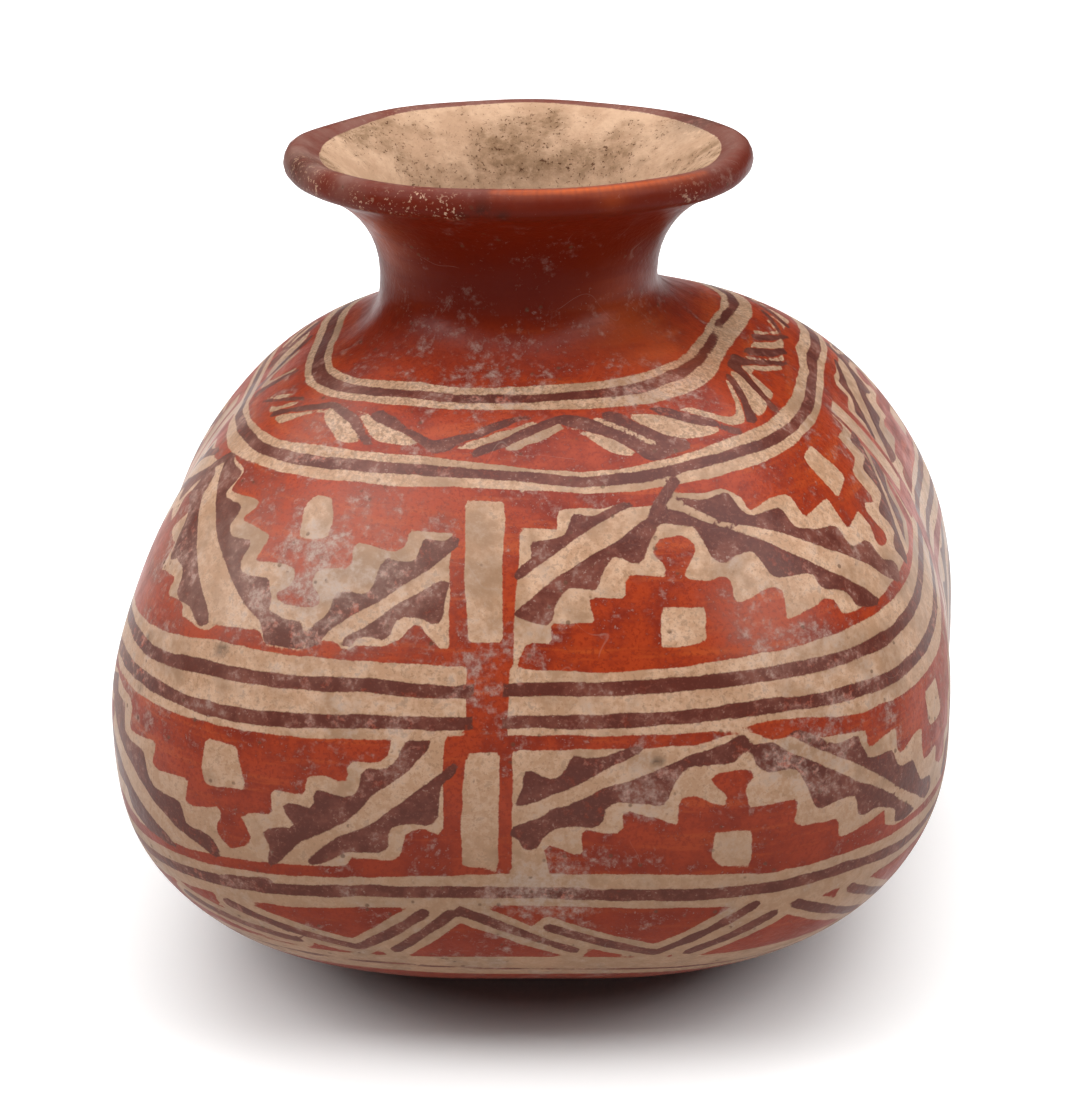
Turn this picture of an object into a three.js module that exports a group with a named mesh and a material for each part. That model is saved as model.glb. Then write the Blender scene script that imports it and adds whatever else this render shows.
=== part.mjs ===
// A hand-built pottery olla: one fired clay vessel with four swelling lobes, a short round neck and
// a wide flared rim. Millimetres, +Z up. The origin is the middle of the flat spot that the pot
// stands on. A valley between two lobes faces -Y, and the lobes point at 45 degrees to the axes.
// The inside is open and empty.
import * as THREE from 'three';

// The body
const lobeReach = 151; // axis to the crest of a lobe, where the belly is widest
const bellyHeight = 88; // floor to that widest place
const footReach = 44; // axis to the edge of the flat spot, along a lobe
const shoulderRise = 102; // belly to where the neck springs from the shoulder's dome
const domeCap = 12; // how far above that the dome's curve would close over the axis

// The neck and rim
const neckRadius = 42; // outside, at the waist of the neck
const neckRise = 21; // shoulder to the waist of the neck
const neckOffset = -6; // the neck leans this far to one side of the body's axis
const rimRadius = 60.5; // axis of the neck to the middle of the lip
const rimOval = 6; // how much wider the rim is along X
const flareRise = 30; // waist of the neck to the underside of the lip
const rimTilt = 0.6; // how much higher the lip is on the +X side
const lipRadius = 4.5; // the rounded lip is twice this thick
const lipFullness = 2.4; // 2 makes its edge a half round, and more makes it squarer

// The clay
const wall = 6.5;
const floorThickness = 8;

// Hand-made form, as shares of the reach
const bellyPinch = 0.15; // depth of the valleys between lobes
const shoulderPinch = 0.134;
const footPinch = 0.1;
const lobeSwell = [-0.05, 0.09, -0.024, -0.016]; // front right, back right, back left, front left

// Curvature of the profile: exponents for how fast it drops and spreads, and a curve's two handles
// as shares of the rise that it spans
const domeFullness = [1.7, 2.4];
const bowlFullness = [2.6, 1.95];
const neckHandles = [0.65, 0.48];
const flareHandles = [0.65, 0.27];
const flareSlope = 20; // degrees that the rim still climbs where it meets the lip

// Facets
const segments = 72;
const bodyRows = 20;
const neckRows = 6;
const flareRows = 5;
const lipRows = 6;
const innerBodyRows = 14;
const innerNeckRows = 4;

const quarterTurn = Math.PI / 2;
const up = new THREE.Vector3(0, 0, 1);
const shoulderHeight = bellyHeight + shoulderRise;
const neckHeight = shoulderHeight + neckRise;
const lipHeight = neckHeight + flareRise;
const slope = THREE.MathUtils.degToRad(flareSlope);

// The bowl's curve would close this far under the belly; the floor cuts it off at the foot.
const bowlDrop = bellyHeight / (1 - (footReach / lobeReach) ** bowlFullness[1]) ** (1 / bowlFullness[0]);

// The outward direction at an angle, which runs from -Y towards +X.
function outward(angle) {
  return new THREE.Vector3(Math.sin(angle), -Math.cos(angle), 0);
}

// How far a lobe's crest is from the axis at a height.
function crestReach(height) {
  const above = height >= bellyHeight;
  const [drop, spread] = above ? domeFullness : bowlFullness;
  const share = above
    ? (height - bellyHeight) / (shoulderRise + domeCap)
    : (bellyHeight - height) / bowlDrop;
  return lobeReach * (1 - share ** drop) ** (1 / spread);
}

// How deep the valleys are at a height, as a share of the reach.
function pinchAt(height) {
  return height >= bellyHeight
    ? THREE.MathUtils.lerp(bellyPinch, shoulderPinch, (height - bellyHeight) / shoulderRise)
    : THREE.MathUtils.lerp(footPinch, bellyPinch, height / bellyHeight);
}

// How much fuller or leaner the pot is towards an angle, because no two lobes are alike.
function swellAt(angle) {
  return lobeSwell.reduce((sum, swell, lobe) => {
    const nearness = Math.max(0, Math.cos(angle - (lobe + 0.5) * quarterTurn));
    return sum + swell * nearness ** 2;
  }, 0);
}

// A point on the outside of the body.
function bodyPoint(angle, height) {
  const valley = Math.sin(2 * (angle - quarterTurn / 2)) ** 2;
  const reach = crestReach(height) * (1 - pinchAt(height) * valley) * (1 + swellAt(angle));
  return outward(angle).multiplyScalar(reach).setZ(height);
}

// The direction in which the body's outside rises at the shoulder.
function shoulderRun(angle) {
  const step = 0.5;
  return bodyPoint(angle, shoulderHeight).sub(bodyPoint(angle, shoulderHeight - step)).normalize();
}

// A point on the waist of the neck.
function waistPoint(angle) {
  return outward(angle).multiplyScalar(neckRadius).add(new THREE.Vector3(neckOffset, 0, neckHeight));
}

// The rim's own directions at an angle: out along the flare, and across it.
function flareRun(angle) {
  return outward(angle).multiplyScalar(Math.cos(slope)).addScaledVector(up, Math.sin(slope));
}

function flareNormal(angle) {
  return outward(angle).multiplyScalar(-Math.sin(slope)).addScaledVector(up, Math.cos(slope));
}

// The underside of the lip.
function flareEdge(angle) {
  const side = Math.sin(angle);
  return outward(angle)
    .multiplyScalar(rimRadius + rimOval * side ** 2)
    .add(new THREE.Vector3(neckOffset, 0, lipHeight + rimTilt * side));
}

// The dome turns up into the neck along a curve.
function neckCurve(angle) {
  const foot = bodyPoint(angle, shoulderHeight);
  const waist = waistPoint(angle);
  return new THREE.CubicBezierCurve3(
    foot,
    foot.clone().addScaledVector(shoulderRun(angle), neckHandles[0] * neckRise),
    waist.clone().addScaledVector(up, -neckHandles[1] * neckRise),
    waist,
  );
}

// The neck opens into the flare in the same way.
function flareCurve(angle) {
  const waist = waistPoint(angle);
  const edge = flareEdge(angle);
  return new THREE.CubicBezierCurve3(
    waist,
    waist.clone().addScaledVector(up, flareHandles[0] * flareRise),
    edge.clone().addScaledVector(flareRun(angle), -flareHandles[1] * flareRise),
    edge,
  );
}

// The outside, from the foot (0) through the shoulder (1) and the waist (2) to the lip's underside (3).
function outsidePoint(angle, place) {
  if (place <= 1) return bodyPoint(angle, bodyHeightAt(place));
  return place <= 2 ? neckCurve(angle).getPoint(place - 1) : flareCurve(angle).getPoint(place - 2);
}

// Rows crowd together at the foot and the shoulder, where the profile turns fastest.
function bodyHeightAt(place) {
  return (shoulderHeight * (1 - Math.cos(place * Math.PI))) / 2;
}

function bodyPlaceAt(height) {
  return Math.acos(1 - (2 * height) / shoulderHeight) / Math.PI;
}

// The inside, one wall's thickness in from the outside. The flare thickens towards its lip.
function insidePoint(angle, place) {
  const step = 1e-3;
  const above = outsidePoint(angle, Math.min(place + step, 3));
  const below = outsidePoint(angle, Math.max(place - step, 0));
  const around = outsidePoint(angle + step, place).sub(outsidePoint(angle - step, place));
  const normal = around.cross(above.sub(below)).normalize();
  const thickness = place > 2 ? THREE.MathUtils.lerp(wall, 2 * lipRadius, (place - 2) ** 2) : wall;
  return outsidePoint(angle, place).addScaledVector(normal, -thickness);
}

// The rounded edge of the lip, from its underside to its top.
function lipPoint(angle, turn) {
  const centre = flareEdge(angle).addScaledVector(flareNormal(angle), lipRadius);
  const fuller = (share) => Math.sign(share) * Math.abs(share) ** (2 / lipFullness);
  return centre
    .addScaledVector(flareRun(angle), lipRadius * fuller(Math.sin(turn)))
    .addScaledVector(flareNormal(angle), -lipRadius * fuller(Math.cos(turn)));
}

function ring(pointAt) {
  return Array.from({ length: segments }, (_, i) => pointAt((2 * Math.PI * i) / segments));
}

// Rows of one stretch of the profile, without its first place, which the stretch before it has.
function rings(count, pointAt) {
  return Array.from({ length: count }, (_, i) => ring((angle) => pointAt(angle, (i + 1) / count)));
}

// All rows of the closed wall, from the foot up the outside, over the lip and down the inside to the floor.
function wallRings() {
  const lowest = bodyPlaceAt(floorThickness);
  const innerFloorPoint = (angle) => outward(angle).multiplyScalar(footReach - wall).setZ(floorThickness);
  return [
    ring((angle) => bodyPoint(angle, 0)),
    ...rings(bodyRows, (angle, share) => outsidePoint(angle, share)),
    ...rings(neckRows, (angle, share) => outsidePoint(angle, 1 + share)),
    ...rings(flareRows, (angle, share) => outsidePoint(angle, 2 + share)),
    ...rings(lipRows, (angle, share) => lipPoint(angle, share * Math.PI)),
    ...rings(flareRows, (angle, share) => insidePoint(angle, 3 - share)),
    ...rings(innerNeckRows, (angle, share) => insidePoint(angle, 2 - share)),
    ...rings(innerBodyRows, (angle, share) => insidePoint(angle, THREE.MathUtils.lerp(1, lowest, share))),
    ring(innerFloorPoint),
  ];
}

// Joins the rows into one closed surface that faces out, with a flat spot under the pot and a flat
// floor in it.
function wallGeometry() {
  const rows = wallRings();
  const points = rows.flat();
  const lowest = points.push(new THREE.Vector3(0, 0, 0)) - 1;
  const floorMiddle = points.push(new THREE.Vector3(0, 0, floorThickness)) - 1;
  const index = [];
  for (let i = 0; i < segments; i++) {
    const next = (i + 1) % segments;
    index.push(lowest, next, i);
    for (let row = 0; row < rows.length - 1; row++) {
      const here = row * segments;
      const above = here + segments;
      index.push(here + i, here + next, above + i);
      index.push(here + next, above + next, above + i);
    }
    const last = (rows.length - 1) * segments;
    index.push(last + i, last + next, floorMiddle);
  }
  return new THREE.BufferGeometry().setFromPoints(points).setIndex(index);
}

const geometry = wallGeometry();
geometry.computeVertexNormals();

const slip = new THREE.MeshStandardMaterial({ color: 0x9c3a20, roughness: 0.5, metalness: 0 });
const olla = new THREE.Mesh(geometry, slip);
olla.name = 'olla';

const group = new THREE.Group();
group.add(olla);

export default group;
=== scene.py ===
import math

import bpy
import numpy as np
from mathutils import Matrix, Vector


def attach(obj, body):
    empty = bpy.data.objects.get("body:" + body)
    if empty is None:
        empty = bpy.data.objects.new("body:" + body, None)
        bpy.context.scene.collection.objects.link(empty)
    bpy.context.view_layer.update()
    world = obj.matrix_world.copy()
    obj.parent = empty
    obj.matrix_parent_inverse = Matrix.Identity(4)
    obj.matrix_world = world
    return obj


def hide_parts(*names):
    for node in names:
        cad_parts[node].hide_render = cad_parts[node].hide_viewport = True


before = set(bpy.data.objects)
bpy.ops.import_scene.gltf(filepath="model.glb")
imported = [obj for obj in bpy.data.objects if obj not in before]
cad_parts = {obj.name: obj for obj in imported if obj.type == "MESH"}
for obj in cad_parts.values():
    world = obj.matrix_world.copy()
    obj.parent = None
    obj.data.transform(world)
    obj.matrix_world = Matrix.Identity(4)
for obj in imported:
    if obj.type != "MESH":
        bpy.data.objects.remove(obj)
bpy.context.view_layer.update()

bpy.ops.object.select_all(action="DESELECT")
print("frame loaded")

# Camera and studio
camera = {
    "target": (0, 0, 0.12),
    "turn": 1.64,  # degrees to the right of straight ahead
    "tilt": 21.95,  # degrees above the floor
    "distance": 0.7963,
    "lens": 82.13,
    "shift": (0.00136, -0.00408),
}
studio = {
    "floorSize": 9,
    "floorColour": (0.95, 0.95, 0.95),
    "floorRoughness": 0.7,
    "backGlow": (-0.1, 1.2, 0.9),  # metres behind the pot where it starts and is full, and its strength
    "nearGlow": (0.07, 0.125, 0.25),  # the same, in metres from the pot's middle
    "skyStrength": 0.03,
    "sideBoxSize": (0.32, 0.5),
    "sideBoxDistance": 1.3,
    "leftBox": (-66, 40, 4.2),  # turn, tilt, watts
    "rightBox": (66, 38, 3.4),
    "topBoxSize": (2.1, 1.8),
    "topBox": (0, 89, 37),
}


def aimed(turn, tilt, distance, target):
    back = Vector((
        math.sin(math.radians(turn)) * math.cos(math.radians(tilt)),
        -math.cos(math.radians(turn)) * math.cos(math.radians(tilt)),
        math.sin(math.radians(tilt)),
    ))
    return Vector(target) + back * distance, (-back).to_track_quat("-Z", "Y").to_euler()


def addCamera():
    place, facing = aimed(camera["turn"], camera["tilt"], camera["distance"], camera["target"])
    bpy.ops.object.camera_add(location=place, rotation=facing)
    made = bpy.context.object
    made.data.sensor_fit = "VERTICAL"
    made.data.sensor_height = 36
    made.data.lens = camera["lens"]
    made.data.shift_x, made.data.shift_y = camera["shift"]
    bpy.context.scene.camera = made


def addBox(name, turn, tilt, watts, size, distance):
    place, facing = aimed(turn, tilt, distance, camera["target"])
    bpy.ops.object.light_add(type="AREA", location=place, rotation=facing)
    box = bpy.context.object
    box.name = name
    box.data.shape = "RECTANGLE"
    box.data.size, box.data.size_y = size
    box.data.energy = watts


def addStudio():
    for name in ("leftBox", "rightBox"):
        addBox(name, *studio[name], studio["sideBoxSize"], studio["sideBoxDistance"])
    addBox("topBox", *studio["topBox"], studio["topBoxSize"], studio["sideBoxDistance"])
    world = bpy.data.worlds.new("softRoom")
    world.use_nodes = True
    world.node_tree.nodes["Background"].inputs["Color"].default_value = (1, 1, 1, 1)
    world.node_tree.nodes["Background"].inputs["Strength"].default_value = studio["skyStrength"]
    bpy.context.scene.world = world
    bpy.context.scene.view_settings.view_transform = "Standard"
    bpy.ops.mesh.primitive_plane_add(size=studio["floorSize"])
    floor = bpy.context.object
    floor.name = "floor"
    paper = bpy.data.materials.new("whitePaper")
    paper.use_nodes = True
    nodes, links = paper.node_tree.nodes, paper.node_tree.links
    shader = nodes["Principled BSDF"]
    shader.inputs["Base Color"].default_value = (*studio["floorColour"], 1)
    shader.inputs["Roughness"].default_value = studio["floorRoughness"]
    shader.inputs["Emission Color"].default_value = (1, 1, 1, 1)
    place = nodes.new("ShaderNodeTexCoord")
    parts = nodes.new("ShaderNodeSeparateXYZ")
    apart = nodes.new("ShaderNodeVectorMath")
    apart.operation = "LENGTH"
    links.new(place.outputs["Object"], parts.inputs[0])
    links.new(place.outputs["Object"], apart.inputs[0])
    brightest = nodes.new("ShaderNodeMath")
    brightest.operation = "MAXIMUM"
    for socket, measure, name in (
        (0, parts.outputs["Y"], "backGlow"), (1, apart.outputs["Value"], "nearGlow"),
    ):
        glow = nodes.new("ShaderNodeMapRange")
        glow.interpolation_type = "SMOOTHSTEP"
        for key, value in zip(("From Min", "From Max", "To Max"), studio[name]):
            glow.inputs[key].default_value = value
        links.new(measure, glow.inputs["Value"])
        links.new(glow.outputs["Result"], brightest.inputs[socket])
    links.new(brightest.outputs[0], shader.inputs["Emission Strength"])
    floor.data.materials.append(paper)


addCamera()
addStudio()
print("camera and studio set")

# The pot's form, in millimetres
pot = {
    "lobeReach": 151, "bellyHeight": 88, "footReach": 44, "shoulderRise": 102, "domeCap": 12,
    "neckRadius": 42, "neckRise": 21, "neckOffset": -6,
    "rimRadius": 60.5, "rimOval": 6, "flareRise": 30, "rimTilt": 0.6, "lipRadius": 4.5,
    "lipFullness": 2.4,  # 2 makes its edge a half round, and more makes it squarer
    "wall": 6.5, "floorThickness": 8,
    "pinches": (0.1, 0.15, 0.134),  # depth of the valleys at the foot, the belly and the shoulder
    "lobeSwell": (-0.05, 0.09, -0.024, -0.016),
    "domeFullness": (1.7, 2.4), "bowlFullness": (2.6, 1.95),
    "neckHandles": (0.65, 0.48), "flareHandles": (0.65, 0.27), "flareSlope": 20,
    "dents": 0.25, "rimWaves": 0.45,
    "around": 468,  # faces around the pot
    # rows of faces up the wall, and how far up the low ones reach
    "rows": {
        "low": 23, "body": 112, "neck": 20, "flare": 13, "lip": 9,
        "flareInside": 11, "neckInside": 7, "bodyInside": 20,
    },
    "lowRun": 80,
}
shoulderHeight = pot["bellyHeight"] + pot["shoulderRise"]
neckHeight = shoulderHeight + pot["neckRise"]
lipHeight = neckHeight + pot["flareRise"]
slope = math.radians(pot["flareSlope"])
bowlDrop = pot["bellyHeight"] / (
    1 - (pot["footReach"] / pot["lobeReach"]) ** pot["bowlFullness"][1]
) ** (1 / pot["bowlFullness"][0])


def crestReach(height):
    up = np.clip((height - pot["bellyHeight"]) / (pot["shoulderRise"] + pot["domeCap"]), 0, 1)
    down = np.clip((pot["bellyHeight"] - height) / bowlDrop, 0, 1)
    share = np.where(height >= pot["bellyHeight"], up, down)
    drop = np.where(height >= pot["bellyHeight"], pot["domeFullness"][0], pot["bowlFullness"][0])
    spread = np.where(height >= pot["bellyHeight"], pot["domeFullness"][1], pot["bowlFullness"][1])
    return pot["lobeReach"] * (1 - share ** drop) ** (1 / spread)


def pinchAt(height):
    return np.interp(height, [0, pot["bellyHeight"], shoulderHeight], pot["pinches"])


def outward(angle):
    return np.stack([np.sin(angle), -np.cos(angle), 0 * angle], -1)


def raised(height, angle):
    return np.stack([0 * angle, 0 * angle, height + 0 * angle], -1)


def bodyPoint(angle, height):
    swell = sum(
        s * np.clip(np.cos(angle - (k + 0.5) * np.pi / 2), 0, None) ** 2
        for k, s in enumerate(pot["lobeSwell"])
    )
    valley = np.sin(2 * angle - np.pi / 2) ** 2
    reach = crestReach(height) * (1 - pinchAt(height) * valley) * (1 + swell)
    # slight dents left by the hands
    dents = np.sin(5 * angle + height * 0.045) * np.sin(2 * angle + height * 0.07)
    dents = dents + 0.6 * np.sin(11 * angle - height * 0.11)
    reach = reach + pot["dents"] * dents
    return outward(angle) * reach[:, None] + raised(height, angle)


def curved(a, b, c, d, t):
    return (1 - t) ** 3 * a + 3 * (1 - t) ** 2 * t * b + 3 * (1 - t) * t ** 2 * c + t ** 3 * d


def waistPoint(angle):
    return outward(angle) * pot["neckRadius"] + np.array([pot["neckOffset"], 0, neckHeight])


def flareRun(angle):
    return outward(angle) * math.cos(slope) + raised(math.sin(slope), angle)


def flareNormal(angle):
    return outward(angle) * -math.sin(slope) + raised(math.cos(slope), angle)


def flareEdge(angle):
    side = np.sin(angle)
    waves = pot["rimWaves"] * (np.sin(4 * angle + 1) + np.sin(7 * angle) * np.cos(angle + 2))
    reach = pot["rimRadius"] + pot["rimOval"] * side ** 2 + 0.4 * waves
    return (
        outward(angle) * reach[:, None]
        + raised(lipHeight + pot["rimTilt"] * side + waves * 0.7, angle)
        + np.array([pot["neckOffset"], 0, 0])
    )


def neckPoint(angle, t):
    foot = bodyPoint(angle, shoulderHeight)
    run = foot - bodyPoint(angle, shoulderHeight - 0.5)
    run /= np.linalg.norm(run, axis=1)[:, None]
    waist = waistPoint(angle)
    first = foot + run * pot["neckHandles"][0] * pot["neckRise"]
    last = waist - raised(pot["neckHandles"][1] * pot["neckRise"], angle)
    return curved(foot, first, last, waist, t)


def flarePoint(angle, t):
    waist = waistPoint(angle)
    edge = flareEdge(angle)
    first = waist + raised(pot["flareHandles"][0] * pot["flareRise"], angle)
    last = edge - flareRun(angle) * pot["flareHandles"][1] * pot["flareRise"]
    return curved(waist, first, last, edge, t)


# How far along the mean profile each height of the body is, from the edge of the foot
profileHeights = np.linspace(0, shoulderHeight, 3000)
meanReach = crestReach(profileHeights) * (1 - 0.5 * pinchAt(profileHeights))
profileRuns = np.concatenate([
    [0], np.cumsum(np.hypot(np.diff(profileHeights), np.diff(meanReach)))
])
stretches = {"neck": 35.58, "flare": 39.0}  # mean lengths along the wall
neckStart = profileRuns[-1]
flareStart = neckStart + stretches["neck"]
lipStart = flareStart + stretches["flare"]
lipLength = np.pi * pot["lipRadius"]
lipTop = lipStart + lipLength


def outsidePoint(angle, run):
    if run <= neckStart:
        return bodyPoint(angle, np.interp(run, profileRuns, profileHeights))
    if run <= flareStart:
        return neckPoint(angle, (run - neckStart) / stretches["neck"])
    return flarePoint(angle, min(1, (run - flareStart) / stretches["flare"]))


def insidePoint(angle, run):
    step = 0.04
    above = outsidePoint(angle, min(run + step, lipStart))
    below = outsidePoint(angle, max(run - step, 0))
    around = outsidePoint(angle + 1e-3, run) - outsidePoint(angle - 1e-3, run)
    normal = np.cross(around, above - below)
    normal /= np.linalg.norm(normal, axis=1)[:, None]
    flared = max(0, (run - flareStart) / stretches["flare"]) ** 2
    thickness = pot["wall"] + (2 * pot["lipRadius"] - pot["wall"]) * flared
    return outsidePoint(angle, run) - normal * thickness


def lipPoint(angle, turn):
    def fuller(share):
        return math.copysign(abs(share) ** (2 / pot["lipFullness"]), share)
    centre = flareEdge(angle) + flareNormal(angle) * pot["lipRadius"]
    return (
        centre
        + flareRun(angle) * pot["lipRadius"] * fuller(math.sin(turn))
        - flareNormal(angle) * pot["lipRadius"] * fuller(math.cos(turn))
    )


# Every row of the closed wall: its place along the wall, and its points
def wallRows(angle):
    count = pot["rows"]
    lowRun = pot["lowRun"]
    rows = []
    foot = bodyPoint(angle, 0.0)
    for share in (0, 0.35, 0.7):
        rows.append((-(1 - share) * pot["footReach"], foot * share))
    for run in np.concatenate([
        np.linspace(0, lowRun, count["low"])[:-1],
        np.linspace(lowRun, neckStart, count["body"])[:-1],
        np.linspace(neckStart, flareStart, count["neck"])[:-1],
        np.linspace(flareStart, lipStart, count["flare"]),
    ]):
        rows.append((run, outsidePoint(angle, run)))
    for share in np.linspace(0, 1, count["lip"])[1:]:
        rows.append((lipStart + share * lipLength, lipPoint(angle, share * np.pi)))
    lowest = np.interp(pot["floorThickness"], profileHeights, profileRuns)
    for run in np.concatenate([
        np.linspace(lipStart, flareStart, count["flareInside"])[1:],
        np.linspace(flareStart, neckStart, count["neckInside"])[1:],
        np.linspace(neckStart, lowest, count["bodyInside"])[1:],
    ]):
        rows.append((lipTop + lipStart - run, insidePoint(angle, run)))
    ledge = outward(angle) * (pot["footReach"] - pot["wall"]) + raised(pot["floorThickness"], angle)
    for share in (1, 0.5, 0):
        point = ledge * np.array([share, share, 1])
        rows.append((lipTop + lipStart - lowest + (1.3 - share) * pot["footReach"], point))
    return rows


def addWall():
    columns = pot["around"]
    angle = np.linspace(-np.pi, np.pi, columns + 1)
    rows = wallRows(angle)
    bpy.ops.mesh.primitive_grid_add(x_subdivisions=columns, y_subdivisions=len(rows) - 1, size=1)
    wall = bpy.context.object
    wall.name = "paintedOlla"
    points = np.array([row[1] for row in rows]).reshape(-1, 3) / 1000
    wall.data.vertices.foreach_set("co", points.ravel())
    for name, data in (
        ("turn", np.tile(np.degrees(angle), len(rows))),
        ("run", np.repeat([row[0] for row in rows], columns + 1)),
    ):
        wall.data.attributes.new(name, "FLOAT", "POINT").data.foreach_set("value", data)
    bpy.ops.object.mode_set(mode="EDIT")
    bpy.ops.mesh.select_all(action="SELECT")
    bpy.ops.mesh.remove_doubles(threshold=1e-5)  # joins the seam at the back and closes the poles
    bpy.ops.mesh.normals_make_consistent(inside=False)
    bpy.ops.object.mode_set(mode="OBJECT")
    bpy.ops.object.shade_smooth()
    return wall


wall = addWall()
print("wall:", len(wall.data.polygons), "faces")


def values(name):
    data = wall.data.attributes[name].data
    out = np.zeros(len(data), np.float32)
    data.foreach_get("value", out)
    return out.astype(float)


turns = values("turn")
runs = values("run")


# A line round the pot: heights along the wall at some angles, in degrees
def line(points):
    places = sorted(points)
    return lambda turn: np.interp(turn, places, [points[p] for p in places], period=360)


def radiusAt(run):
    if run > neckStart:
        ends = (meanReach[-1], pot["neckRadius"], pot["rimRadius"])
        return np.interp(run, (neckStart, flareStart, lipStart), ends)
    return np.interp(run, profileRuns, meanReach)


# Hand-painted corners: each one is cut by this many millimetres
cornerCut = 0.6


def softened(shape, closed):
    starts = shape if closed else shape[:-1]
    ends = np.roll(shape, -1, 0) if closed else shape[1:]
    sides = ends - starts
    lengths = np.linalg.norm(sides, axis=1)[:, None]
    cuts = sides * np.minimum(0.25, cornerCut / np.maximum(lengths, 1e-9))
    out = np.stack([starts + cuts, ends - cuts], 1).reshape(-1, 2)
    if not closed:
        out[0], out[-1] = shape[0], shape[-1]
    return out


far = -9.0  # millimetres; nothing is measured further outside a shape


# Millimetres by which every point of the wall is inside a painted shape or stroke
def field(points, closed, width=0.0):
    points = np.array(points, float)
    middle = points.mean(0)
    scale = np.array([np.radians(1) * radiusAt(middle[1]), 1])
    shape = softened((points - middle) * scale, closed)
    turned = (turns - middle[0] + 180) % 360 - 180
    place = np.stack([turned, runs - middle[1]], -1) * scale
    reach = width / 2 + 5  # how far round the shape it is measured
    near = np.all((place > shape.min(0) - reach) & (place < shape.max(0) + reach), 1)
    out = np.full(len(turns), far)
    place = place[near]
    if not len(place):
        return out
    starts = shape if closed else shape[:-1]
    ends = np.roll(shape, -1, 0) if closed else shape[1:]
    nearest = np.full(len(place), 1e9)
    inside = np.zeros(len(place), bool)
    for a, b in zip(starts, ends):
        side = b - a
        along = np.clip((place - a) @ side / max(side @ side, 1e-9), 0, 1)
        nearest = np.minimum(nearest, np.linalg.norm(place - a - along[:, None] * side, axis=1))
        if closed and a[1] != b[1]:
            crosses = (a[1] > place[:, 1]) != (b[1] > place[:, 1])
            inside ^= crosses & (
                place[:, 0] < a[0] + (place[:, 1] - a[1]) / (b[1] - a[1]) * (b[0] - a[0])
            )
    out[near] = np.where(inside, nearest, -nearest) if closed else width / 2 - nearest
    return out


def anyOf(*fields):
    return np.maximum.reduce(fields)


def allOf(*fields):
    return np.minimum.reduce(fields)


def between(low, high):
    return np.minimum(runs - low(turns), high(turns) - runs)


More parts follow.
